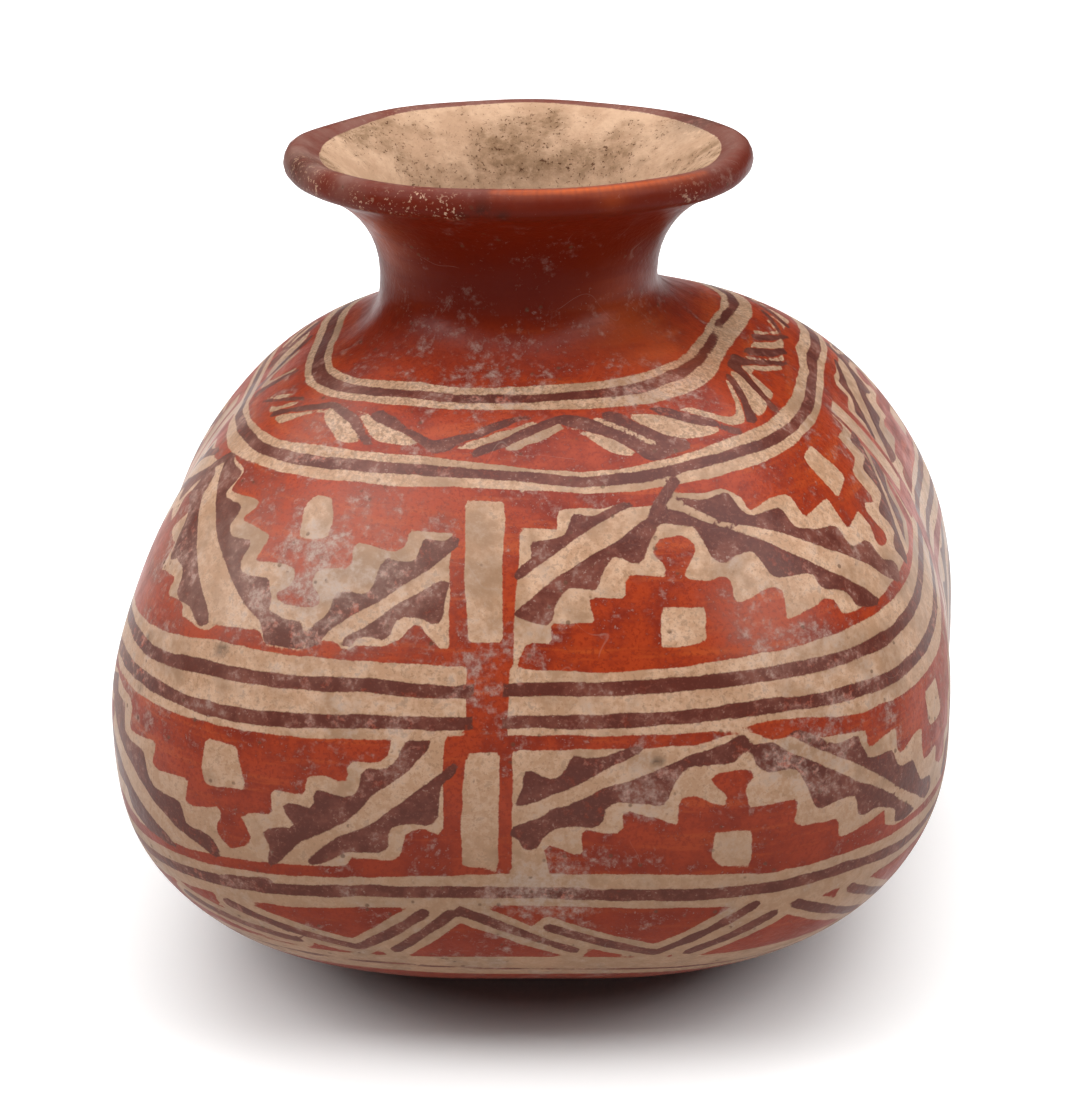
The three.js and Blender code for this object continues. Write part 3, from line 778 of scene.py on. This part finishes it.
# Zigzags on the shoulder: dark strokes and cream patches on red
shoulderDark = [
    [(-60.5, 256.1), (-59, 258.4), (-57, 260.6), (-54.5, 262.9), (-52.5, 265.2), (-49.5, 267.5),
     (-47, 269.7), (-45, 270.6), (-42.5, 270), (-40, 269.3), (-37.5, 267.5), (-35, 264.7),
     (-33.5, 262.5), (-31.5, 260.6), (-30.5, 259), (-31.5, 257.9), (-32.8, 258.4), (-34.5, 260.6),
     (-36.5, 262.9), (-38.5, 265.2), (-41, 266.5), (-43, 267.5), (-45, 268.1), (-47, 266.5),
     (-49.5, 264.7), (-51.5, 262.9), (-54, 261.1), (-56, 258.8), (-58, 256.1), (-59.3, 254.7)],
    [(-71, 253.4), (-69, 255.6), (-67, 257.5), (-64, 260.2), (-61, 262.9), (-58, 265.2), (-55, 267.5),
     (-53.5, 266.5), (-55.5, 265.2), (-58, 262.9), (-61, 260.6), (-64, 257.9), (-67, 255.6),
     (-70, 252.9)],
    [(-33.8, 271.8), (-32, 270.6), (-30, 269.3), (-27.5, 267), (-25, 265.2), (-22.5, 263.4),
     (-20, 261.5), (-18.3, 262.2), (-16, 263.4), (-12.5, 264.5), (-11.5, 266.1), (-10, 267.5),
     (-7.5, 268.8), (-5, 270.2), (-2.5, 271.3), (0, 271.3), (0.3, 269.7), (-2.3, 269), (-4, 267.9),
     (-6.5, 266.1), (-8.5, 264.7), (-10.3, 262.7), (-13, 261.8), (-15.3, 260.2), (-16, 258.1),
     (-18, 257.2), (-19.5, 257.2), (-20.5, 258.4), (-22.5, 260.6), (-25, 262.5), (-27.5, 264.3),
     (-30, 265.6), (-32.5, 266.5), (-35, 267.9), (-35.5, 269.7), (-34.8, 270.9)],
    [(-11.8, 258.1), (-10.3, 259.7), (-7, 261.5), (-4.8, 262.9), (-3, 265.2), (-0.5, 267), (2, 268.6),
     (4.5, 270.2), (6, 271.1), (8.5, 271.5), (10.5, 271.3), (13, 270.4), (15, 269.3), (16.5, 267.5),
     (19.5, 265.2), (21.5, 262.9), (23.3, 260.6), (25, 259), (26.5, 259), (28.5, 260.2), (28, 256.1),
     (25.3, 254), (23.8, 253.4), (22.3, 254.3), (21.5, 257), (20.5, 258.6), (19, 260.2), (17, 262.5),
     (15, 263.8), (12.5, 264.7), (10, 266.1), (8, 266.8), (6.3, 267.9), (4.5, 266.5), (3, 265.2),
     (1, 263.8), (-1, 262.5), (-2.8, 261.1), (-4.5, 259.7), (-6, 258.4), (-8.5, 257), (-10.5, 255.6),
     (-11.8, 255.6)],
    [(16.3, 271.1), (16.8, 269.7), (18.5, 267.9), (20.5, 266.5), (22, 264.7), (24, 262.5), (26, 260.2),
     (26.8, 259), (25.5, 254), (28, 256.1), (30.5, 256.3), (31.8, 257.5), (32, 259.7), (30.5, 261.1),
     (28, 262.9), (25.5, 266.1), (23.5, 268.4), (21.5, 271.5), (19.5, 272.9), (17.5, 272.9)],
    [(27.3, 273.4), (28.3, 272), (30, 269.7), (32.5, 267.9), (34.5, 266.1), (37, 264.3), (39, 263.4),
     (40.3, 261.5), (41.5, 259.3), (43.5, 258.6), (44.5, 260.2), (42.5, 262), (40.5, 263.8),
     (40, 266.1), (38, 267.9), (36, 269.3), (34, 270.9), (32, 272.9), (30, 274)],
    [(46.6, 262), (48.5, 265.6), (50.6, 269.7), (52.3, 273.4), (53.9, 277), (55, 279), (56.2, 279.5),
     (56.6, 278.8), (56.2, 277), (55, 274.3), (54.1, 272), (52.7, 268.8), (51.4, 266.1),
     (50.6, 263.8), (50, 261.5), (48.5, 260.6), (46.8, 261.3)],
    [(55.8, 262.2), (56, 263.8), (57, 264.7), (57.7, 267.5), (58.1, 270.2), (58.9, 273.4), (59.8, 277),
     (60, 280.6), (61.8, 281.3), (64.8, 281.1), (67.7, 281.3), (70.2, 281.1), (71, 280),
     (71.4, 277.5), (73.1, 275.6), (75.2, 273.8), (77.7, 272.5), (79.3, 270.6), (81.8, 268.8),
     (83.5, 267), (85.6, 265.6), (88.1, 263.8), (86, 263.4), (83.5, 264.3), (81.8, 265.6),
     (79.8, 267.5), (77.7, 269.3), (75.2, 271.1), (72.7, 273.4), (70.6, 274.7), (68.5, 275.6),
     (66.8, 276.5), (65.2, 277.9), (63.5, 276.3), (62.3, 274.3), (61, 271.5), (60.2, 269.3),
     (59.3, 266.1), (58.8, 263.8), (58.9, 262), (57.9, 259.3), (56.4, 260.2)],
    [(74.8, 278.6), (77.7, 279), (80.6, 278.1), (82.3, 276.5), (84.3, 274.7), (86.8, 272.5),
     (88.9, 270.2), (91.8, 268.4), (93.9, 267), (94.8, 265.6), (92.7, 264.3), (91, 265.2),
     (89.3, 266.5), (86.8, 267.5), (84.8, 268.8), (82.7, 270.2), (80.6, 272.5), (78.5, 274.3),
     (76.4, 276.1), (74.8, 277.5)],
    [(90.2, 277.5), (93, 278), (95.5, 275.5), (98, 272.5), (100, 270.5), (104, 267), (104, 264.5),
     (100, 267.5), (97, 269.8), (93.5, 272.5), (90.2, 275.5)],
]
shoulderCream = [
    [(-55, 264.7), (-55.5, 263.4), (-57.5, 260.6), (-59, 258.4), (-60.5, 256.1), (-64, 256),
     (-60.5, 258.4), (-58, 262), (-56, 264.3)],
    [(-72, 254), (-66, 259.5), (-61, 264.3), (-60, 263.8), (-64, 260), (-69, 255.6)],
    [(-45, 267.5), (-45, 266.5), (-47, 265.2), (-49, 263.8), (-50.5, 261.1), (-52, 258.8),
     (-53.5, 256.3), (-57.5, 256.1), (-56.5, 257.9), (-55, 259.7), (-52.5, 261.5), (-50, 263.8),
     (-47.5, 266.1)],
    [(-45.5, 269), (-42, 268.4), (-39, 266.6), (-37, 264.6), (-35, 262), (-33, 259.2), (-36, 258.2),
     (-38.5, 259), (-40.5, 261), (-43, 263), (-45, 265)],
    [(-39.5, 269.7), (-36, 269.5), (-34.5, 267.9), (-32, 266.5), (-29.5, 265.6), (-26.5, 263.8),
     (-24, 262), (-21.5, 259.7), (-26, 259.3), (-30, 260.2), (-31.5, 261.1), (-33, 262.9),
     (-35, 265.2), (-37.5, 267.9)],
    [(3, 269), (0, 268.6), (-2, 267.2), (-3.5, 266.1), (-7.5, 264.7), (-9.5, 262.5), (-12, 261.8),
     (-14, 260.2), (-15.5, 258.6), (-11.5, 258.4), (-10, 260), (-7, 261.5), (-5, 262.9), (-3, 264.7),
     (-0.5, 267), (2, 268.4)],
    [(6.5, 267.9), (7.8, 266.5), (6, 265.2), (4, 262.9), (2, 261.1), (-1, 259.7), (-2, 257.9),
     (-5.3, 257.7), (-5.5, 258.6), (-4.5, 259.7), (-2, 261.8), (1, 263.8), (3, 265.2), (5, 266.8)],
    [(8, 266.8), (10, 266), (12.5, 264.6), (15, 263.7), (17.5, 262), (19.5, 259.7), (21, 257.5),
     (21, 256.3), (19.5, 255.6), (17, 256.8), (15, 258.8), (13.5, 261.1), (11.5, 263.8), (9.5, 265.9)],
    [(14.5, 270.6), (17, 269.9), (19, 268.6), (21, 267.2), (23, 265), (25.5, 262.2), (27, 259.8),
     (25.5, 258.4), (23.5, 259.4), (21.8, 261), (19.8, 263.4), (17.8, 265.6), (15.8, 267.4),
     (14.3, 269)],
    [(22, 271.1), (26, 271.3), (28.5, 270.8), (30.5, 269.5), (33, 267.7), (35.5, 265.4), (38.5, 263.6),
     (40.3, 261.5), (35.5, 260.6), (32, 260.4), (30, 261.1), (28, 262.9), (25.5, 266.1),
     (23.5, 268.8)],
    [(34, 271.5), (37, 272), (39, 270.2), (41, 267.9), (43.5, 265.4), (45.5, 265.2), (47, 267),
     (48.5, 269.3), (50, 272.5), (51.8, 276.1), (53.1, 277.7), (53.9, 277.5), (53.1, 275.2),
     (51.8, 272.9), (50.2, 269.7), (48.5, 266.1), (47, 263.2), (46, 262), (43, 262.2), (41.5, 263.8),
     (40, 265.9), (38, 267.9), (35.5, 270.2)],
    [(57, 278.6), (59.5, 278.8), (59.8, 277), (58.9, 272.9), (58.1, 269.7), (57.3, 266.5), (57, 264.5),
     (55.6, 263.6), (53.1, 262.5), (50.6, 262.2), (50.4, 263.8), (51.4, 266.1), (53.1, 269.7),
     (54.3, 272.5), (55.6, 275.2)],
    [(64.8, 277.6), (66.4, 276.7), (68.5, 275.2), (71, 273.9), (73.5, 271.9), (76, 270), (78.5, 268.2),
     (80.6, 266.5), (83.5, 264.7), (81.8, 264.7), (79.8, 265.2), (76.8, 266.5), (75.2, 267.9),
     (73.1, 268.8), (71, 270.6), (68.9, 272.5), (67.3, 273.8), (65.6, 274), (64.3, 273.8),
     (63.9, 271.1), (63.1, 267.5), (62.7, 264.7), (58.9, 264.2), (59.3, 266.1), (60.4, 269.7),
     (61.4, 272), (63.5, 275)],
    [(71.4, 278.4), (73.1, 277.9), (74.8, 276.1), (76.8, 274.3), (79.3, 272), (81.4, 270.6),
     (83.9, 268.8), (86, 267.4), (87.7, 266.5), (90.2, 266), (90, 265.2), (87.7, 265.2), (85.6, 265.6),
     (83.5, 266.8), (81.4, 268.6), (79.3, 270.4), (77.3, 272.3), (74.8, 273.8), (72.7, 275.8)],
    [(81.8, 277), (84.8, 277), (88.1, 276.3), (90.2, 274.3), (92.7, 272), (95.2, 270.2), (97.7, 268.8),
     (100, 267.9), (100, 266.8), (97.3, 266.3), (94.8, 266.1), (93.1, 267.5), (91, 269),
     (88.9, 270.8), (86.8, 272.7), (84.8, 274.5)],
    [(94.3, 277.5), (97, 277.5), (98.5, 275), (100, 273.4), (104, 270), (104, 268.5), (100, 271.5),
     (97, 274)],
]
# Zigzags under the belly: pairs of strokes with cream round them
bellyZigzags = [
    [(-37, 114), (-22, 101.5)], [(-45.2, 108.4), (-29.7, 102.1)],
    [(-22, 101.5), (-12.9, 118.4)], [(-17.5, 100.9), (-9.7, 117.8)],
    [(-8.4, 119), (6.6, 100.9)], [(3, 112.1), (11.6, 104), (17.5, 99)],
    [(17.7, 99), (28.4, 119.3)], [(22, 98.4), (31.1, 114.6)],
    [(33.8, 117.1), (47.5, 99)], [(41.5, 117.1), (52, 101.5)],
]
for apex in (72, 112, 152, 192, 232, 272):
    bellyZigzags += [
        [(apex - 18, 100), (apex - 6, 117)], [(apex - 13, 99.5), (apex - 2, 117)],
        [(apex, 118), (apex + 14, 101)], [(apex + 7, 116), (apex + 19, 101)],
    ]
shoulderLow, shoulderHigh = bands["outerTop"], bands["innerLow"]


# The front's zigzags, and copies of some of them on the other sides
def shoulderField(front, back, left):
    return anyOf(*[
        field(relaid(points, turned, shoulderLow, shoulderHigh) if turned else points, True)
        for turned, shapes in ((0, front), (170, back), (-130, left))
        for points in shapes
    ])


cream = shoulderField(shoulderCream, shoulderCream[:12], shoulderCream[7:11])
redField = anyOf(redField, allOf(between(shoulderLow, shoulderHigh), -cream))
darkField = anyOf(darkField, shoulderField(shoulderDark, shoulderDark[:8], shoulderDark[4:7]))
zigzagWidth = 3.5
creamMargin = 2.7
dark = anyOf(*[field(points, False, zigzagWidth) for points in bellyZigzags])
redField = anyOf(redField, allOf(between(bands["zigzagLow"], bands["lowLow"]), -dark - creamMargin))
darkField = anyOf(darkField, dark)

# Neck, flare and the lip's inner edge are red, and so is the foot
redInside = line({-90: 6.4, -40: 5, 0: 4, 40: 4.5, 90: 4.7, 140: 1.5, 180: 0.5, 220: 1.5})
lipEnd = lipTop + redInside(turns)
neckField = np.minimum(runs - bands["innerTop"](turns), lipEnd - runs)
redField = anyOf(redField, neckField, bands["creamLow"](turns) - runs)

# Worn and stained places, and painted sheen, shade and highlight: degrees, millimetres along the wall,
# reach in millimetres and strength
wear = {
    "rubbedAndSheen": [
        # the spots on the lobes at (-28, 218), (33, 204) and (-54, 178) stand where their highlights fall,
        # so their pale film there is painted sheen
        (-28, 218, 24, 1), (33, 204, 12, 1), (2, 123, 18, 1), (-54, 178, 18, 0.9),
        (-56, 210, 16, 0.7), (-18, 236, 22, 0.55), (-6, 190, 16, 0.8),
        (32, 164, 15, 0.9), (-12, 278, 14, 0.8), (30, 282, 13, 0.9), (-14, 294, 18, 0.6),
        (-34, 292, 12, 0.6), (40, 176, 20, 0.6), (-20, 176, 20, 0.6), (36, 206, 18, 0.5),
        (-38, 251, 11, 0.8), (-28, 199, 12, 0.8), (60, 124, 22, 0.7), (-40, 122, 20, 0.6),
        (14, 160, 20, 0.5), (66, 172, 26, 0.8), (72, 232, 26, 0.7), (-72, 246, 22, 0.6),
        (130, 210, 40, 0.6), (200, 170, 40, 0.6), (250, 230, 35, 0.6), (180, 250, 30, 0.7),
        (2, 80, 26, 0.6),
    ],
    "sootAndShade": [
        (-7, 358, 2.6, 0.65), (-2, 356.5, 2.2, 0.6), (-12, 356, 2.4, 0.5),
        (16.5, 166, 1.4, 1), (-38.8, 192, 1.8, 0.9),
        (-52, 186, 1.3, 0.8), (-51, 172, 1.3, 0.7), (-70, 362, 9, 0.5), (120, 366, 10, 0.5),
    ],
    "flashAndHighlight": [(26, 361, 4, 0.2), (45, 300, 16, 0.4), (-60, 330, 14, 0.4)],
    "filmAndPaintedSheen": [
        # the spots on the lobes stand where their highlights fall and paint that sheen, and those at the
        # lip's left paint its pale highlight
        (-26, 222, 26, 1), (-44, 214, 24, 0.9), (-62, 204, 24, 0.8), (-58, 172, 18, 0.6),
        (-46, 262, 16, 0.6), (32, 204, 13, 0.9), (62, 200, 20, 0.5), (-64, 238, 24, 0.6),
        (-62, 367, 9, 1.3), (-78, 367, 9, 1.4), (-92, 367, 9, 1.2), (-46, 367, 8, 1.1),
    ],
    "chipped": [
        (-40, 358, 4, 0.6), (-30, 358, 4, 0.8), (-24, 361, 4, 0.8), (-16, 358, 4, 0.8),
        (-58, 361, 6, 0.6), (-70, 364, 7, 0.5), (48, 358, 4, 0.4), (150, 361, 8, 0.5),
        (-140, 361, 8, 0.5),
    ],
}
# all round the lip, a pale film with painted sheen on top, painted shade under it, and a painted orange
# highlight along the ridge of its front
for turn in range(-178, 180, 4):
    wear["filmAndPaintedSheen"].append((turn, lipTop + 1, 6, 0.8))
    wear["sootAndShade"].append((turn, lipStart + 1, 3, 0.2))
for turn in range(-4, 58, 2):
    # painted highlight along the ridge of the lip's front
    wear["flashAndHighlight"].append((turn, lipTop - 3.6, 1.5, 1 - abs(turn - 16) / 55))


# How worn every point is: each spot fades out round its middle
def spots(places):
    out = np.zeros(len(turns))
    for turn, run, reach, strength in places:
        across = ((turns - turn + 180) % 360 - 180) * np.radians(1) * radiusAt(run)
        out = np.maximum(out, strength * np.exp(-(across ** 2 + (runs - run) ** 2) / reach ** 2))
    return out


insideField = runs - lipEnd
for name, data in (
    ("redSlip", np.clip(redField, far, -far)),
    ("darkPaint", np.clip(darkField, far, -far)),
    ("inside", np.clip(insideField, -20, 60)),
    ("bareClay", np.clip(insideField, 0, 1)),
    ("neckward", np.clip(runs - bands["innerTop"](turns), far, 60)),
    *[(name, spots(places)) for name, places in wear.items()],
):
    wall.data.attributes.new(name, "FLOAT", "POINT").data.foreach_set("value", data)
print("bands and zigzags painted")

# Finishes. Colours are linear, and strengths go from 0 to 1
clay = {
    "cream": (0.46, 0.262, 0.155),
    "creamPale": (0.61, 0.385, 0.255),
    # stain colour on the cream, also painting shade towards the foot
    "creamStainAndShade": (0.25, 0.145, 0.083),
    "red": (0.36, 0.042, 0.010),
    "redBright": (0.43, 0.070, 0.014),
    # the deep red also paints shade towards the foot and near the neck
    "redDeepAndShade": (0.19, 0.016, 0.005),
    # the neck red is painted shade under the flare
    "neckShadeRed": (0.11, 0.008, 0.002),
    "dark": (0.10, 0.024, 0.016),
    "darkWorn": (0.19, 0.055, 0.036),
    "bloom": (0.47, 0.36, 0.30),
    "inside": (0.44, 0.275, 0.175),
    "insidePale": (0.54, 0.355, 0.235),
    "insideStain": (0.20, 0.115, 0.062),
    # the soot colour also paints shade under the lip, and the flash colour a highlight along its ridge
    "sootAndShade": (0.028, 0.014, 0.010),
    "flashAndHighlight": (0.55, 0.10, 0.018),
    "pit": (0.10, 0.045, 0.025),
    # the grime colour also paints shade towards the foot
    "grimeAndShade": (0.05, 0.028, 0.02),
    "stains": 0.68,  # broad ones on the cream
    "flecks": 0.65,
    "strokes": 0.7,  # of the burnishing stone, on the red
    "film": 0.66,
    # share of the painted sheen
    "paintedSheen": (0.16, 0.3),
    "scratches": 0.15,
    "pits": 0.7,
    # grime with painted shade, low on the pot and under it
    "grimeAndShadeLow": 0.36,
    "grimeAndShadeUnder": 0.6,
    "edgeWaver": 1.3,  # millimetres by which painted edges waver, and by which they are grainy
    "edgeGrain": 0.8,
    "roughness": (0.28, 0.42),
    "gloss": (0.05, 0.22),  # at the neck and the foot, and on the shoulder
    "bump": 0.35,
    "bumpDepth": 0.0009,  # metres
}
# Noise: cells per metre, detail and roughness
grain = {
    "broad": (24, 4, 0.72), "middle": (75, 4, 0.72), "fine": (330, 3, 0.72), "grit": (900, 2, 0.7),
    "edges": (120, 1, 0.55), "scratches": (38, 1, 0.55), "dimples": (80, 1, 0.55),
    "pores": (520, 2, 0.65), "strokes": (26, 3, 0.65),
}
strokeLength = 11  # how much longer the strokes are round the pot than up it
pitScale = 230  # cells per metre


def addNode(tree, kind, settings=None, inputs=None):
    made = tree.nodes.new(kind)
    for key, value in (settings or {}).items():
        setattr(made, key, value)
    for key, value in (inputs or {}).items():
        if hasattr(value, "is_output"):
            tree.links.new(value, made.inputs[key])
        else:
            made.inputs[key].default_value = value
    return made


def slipMaterial():
    material = bpy.data.materials.new("slippedClay")
    material.use_nodes = True
    tree = material.node_tree
    shader = tree.nodes["Principled BSDF"]
    place = addNode(tree, "ShaderNodeTexCoord").outputs["Object"]

    def noise(name, place=place):
        scale, detail, roughness = grain[name]
        return addNode(tree, "ShaderNodeTexNoise", {}, {
            "Vector": place, "Scale": scale, "Detail": detail, "Roughness": roughness,
        }).outputs["Fac"]

    def attribute(name):
        return addNode(tree, "ShaderNodeAttribute", {"attribute_name": name}).outputs["Fac"]

    def ramp(value, low, high, start=0.0, end=1.0):
        made = addNode(tree, "ShaderNodeMapRange", {"interpolation_type": "SMOOTHSTEP"}, {
            "Value": value, "From Min": low, "From Max": high, "To Min": start, "To Max": end,
        })
        return made.outputs["Result"]

    def maths(operation, a, b=0.0):
        return addNode(tree, "ShaderNodeMath", {"operation": operation}, {0: a, 1: b}).outputs[0]

    def plus(a, b):
        return maths("ADD", a, b)

    def times(a, b):
        return maths("MULTIPLY", a, b)

    def most(first, *others):
        for other in others:
            first = maths("MAXIMUM", first, other)
        return first

    def around(value, reach):
        return times(maths("SUBTRACT", value, 0.5), reach)

    def mix(share, a, b):
        made = addNode(tree, "ShaderNodeMix", {"data_type": "RGBA"})
        for socket, value in ((made.inputs[0], share), (made.inputs[6], a), (made.inputs[7], b)):
            if hasattr(value, "is_output"):
                tree.links.new(value, socket)
            else:
                socket.default_value = (*value, 1) if isinstance(value, tuple) else value
        return made.outputs[2]

    broad, middle, fine, grit = [noise(name) for name in ("broad", "middle", "fine", "grit")]
    stretched = addNode(tree, "ShaderNodeMapping", {}, {"Vector": place, "Scale": (1, 1, strokeLength)})
    strokes = noise("strokes", stretched.outputs["Vector"])
    run = attribute("run")
    rubAndSheen = attribute("rubbedAndSheen")
    neckward = attribute("neckward")
    # painted shade: how near the foot a point is, for darkening it there
    low = ramp(run, 200, 85)

    # where the slips and the bare inside are, with hand-painted edges
    ragged = plus(around(noise("edges"), clay["edgeWaver"]), around(grit, clay["edgeGrain"]))
    red = ramp(plus(attribute("redSlip"), ragged), -0.2, 0.2)
    dark = ramp(plus(attribute("darkPaint"), ragged), -0.22, 0.22)
    inside = ramp(plus(attribute("inside"), ragged), -0.2, 0.3)

    speckled = plus(times(middle, 0.5), times(fine, 0.5))
    creamColour = mix(ramp(speckled, 0.42, 0.58), clay["cream"], clay["creamPale"])
    # stains and flecks on the cream, and painted shade that darkens it towards the foot
    stainsAndShade = most(
        times(ramp(broad, 0.45, 0.64), clay["stains"]),
        times(ramp(fine, 0.54, 0.68), clay["flecks"]),
        times(low, ramp(middle, 0.3, 0.7, 0.35, 0.95)),
        ramp(grit, 0.52, 0.64, 0, 0.5),
        times(ramp(run, 225, 262), ramp(grit, 0.42, 0.6, 0, 0.75)),
    )
    creamColour = mix(stainsAndShade, creamColour, clay["creamStainAndShade"])

    redColour = mix(ramp(middle, 0.36, 0.66), clay["red"], clay["redDeepAndShade"])
    redColour = mix(ramp(strokes, 0.5, 0.7, 0, clay["strokes"]), redColour, clay["redBright"])
    # painted shade: the red darkens towards the foot
    redColour = mix(times(low, 0.65), redColour, clay["redDeepAndShade"])
    redColour = mix(ramp(grit, 0.48, 0.66, 0, 0.6), redColour, clay["redDeepAndShade"])
    # painted shade on the neck under the flare, and on the shoulder next to it
    redColour = mix(ramp(neckward, -2, 14, 0, 0.55), redColour, clay["redDeepAndShade"])
    redColour = mix(ramp(neckward, 12, 36, 0, 0.92), redColour, clay["neckShadeRed"])

    darkColour = mix(ramp(middle, 0.42, 0.68), clay["dark"], clay["darkWorn"])
    darkColour = mix(ramp(grit, 0.54, 0.68, 0, 0.5), darkColour, clay["darkWorn"])
    darkColour = mix(times(ramp(fine, 0.52, 0.66), rubAndSheen), darkColour, clay["red"])
    colour = mix(dark, mix(red, creamColour, redColour), darkColour)

    # a grey film, mostly where the pot is rubbed, which is painted sheen at some of those spots, and a
    # smooth painted sheen
    cloud = plus(times(middle, 0.55), times(fine, 0.45))
    film = ramp(plus(cloud, times(rubAndSheen, 0.13)), 0.54, 0.73, 0, clay["film"])
    film = times(film, ramp(grit, 0.34, 0.6, 0.45, 1))
    film = most(film, times(ramp(grit, 0.62, 0.7), ramp(middle, 0.42, 0.6, 0, 0.35)))
    film = times(film, ramp(neckward, 10, 40, 1, 0.4))
    film = plus(film, times(attribute("filmAndPaintedSheen"), ramp(middle, 0.3, 0.6, *clay["paintedSheen"])))
    colour = mix(film, colour, clay["bloom"])

    # hair-thin scratches, pits as dark dots, and grime with painted shade, darker towards the foot
    scratched = maths("ABSOLUTE", maths("SUBTRACT", noise("scratches"), 0.5))
    scratched = times(ramp(scratched, 0, 0.0035, 1, 0), ramp(broad, 0.54, 0.6, 0, clay["scratches"]))
    colour = mix(scratched, colour, clay["bloom"])
    cells = addNode(tree, "ShaderNodeTexVoronoi", {}, {"Vector": place, "Scale": pitScale})
    pits = times(ramp(cells.outputs["Distance"], 0.1, 0.2, clay["pits"], 0), ramp(middle, 0.5, 0.6))
    colour = mix(pits, colour, clay["pit"])
    grimeAndShadeShare = most(ramp(run, 215, 95, 0, clay["grimeAndShadeLow"]), ramp(run, 110, 60, 0, clay["grimeAndShadeUnder"]))
    colour = mix(grimeAndShadeShare, colour, clay["grimeAndShade"])

    # the rough clay inside, blotched and specked
    bare = mix(ramp(middle, 0.38, 0.64), clay["inside"], clay["insidePale"])
    blotched = times(ramp(broad, 0.46, 0.62), ramp(fine, 0.3, 0.6, 0.35, 0.85))
    bare = mix(blotched, bare, clay["insideStain"])
    specked = most(ramp(grit, 0.6, 0.68), ramp(fine, 0.63, 0.7))
    bare = mix(times(specked, ramp(broad, 0.42, 0.56, 0.12, 1)), bare, clay["pit"])
    colour = mix(inside, colour, bare)

    # soot and painted shade under the lip, the orange flash and a painted highlight along the lip's ridge,
    # and pale chips
    colour = mix(times(attribute("sootAndShade"), ramp(fine, 0.3, 0.5)), colour, clay["sootAndShade"])
    colour = mix(times(attribute("flashAndHighlight"), ramp(strokes, 0.3, 0.55, 0.45, 1)), colour, clay["flashAndHighlight"])
    crumbs = ramp(plus(grit, times(fine, 0.5)), 0.83, 0.89)
    colour = mix(times(attribute("chipped"), crumbs), colour, clay["creamPale"])
    tree.links.new(colour, shader.inputs["Base Color"])

    # rougher at the rubbed and sheen-painted spots, where filmed, and inside, and duller at the neck and
    # the foot
    rough = plus(ramp(middle, 0.3, 0.7, *clay["roughness"]), times(rubAndSheen, 0.16))
    rough = most(plus(rough, times(film, 0.4)), times(inside, 0.85))
    tree.links.new(rough, shader.inputs["Roughness"])
    gloss = maths("MINIMUM", ramp(neckward, 12, 36, 1, 0), ramp(run, 90, 220))
    tree.links.new(ramp(gloss, 0, 1, *clay["gloss"]), shader.inputs["Specular IOR Level"])

    height = plus(noise("dimples"), times(noise("pores"), 0.4))
    height = plus(height, times(times(fine, attribute("bareClay")), 1.1))
    bump = addNode(tree, "ShaderNodeBump", {}, {
        "Height": height, "Strength": clay["bump"], "Distance": clay["bumpDepth"],
    })
    tree.links.new(bump.outputs["Normal"], shader.inputs["Normal"])
    return material


wall.data.materials.append(slipMaterial())
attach(wall, "root")
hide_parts("olla")
print("olla finished")
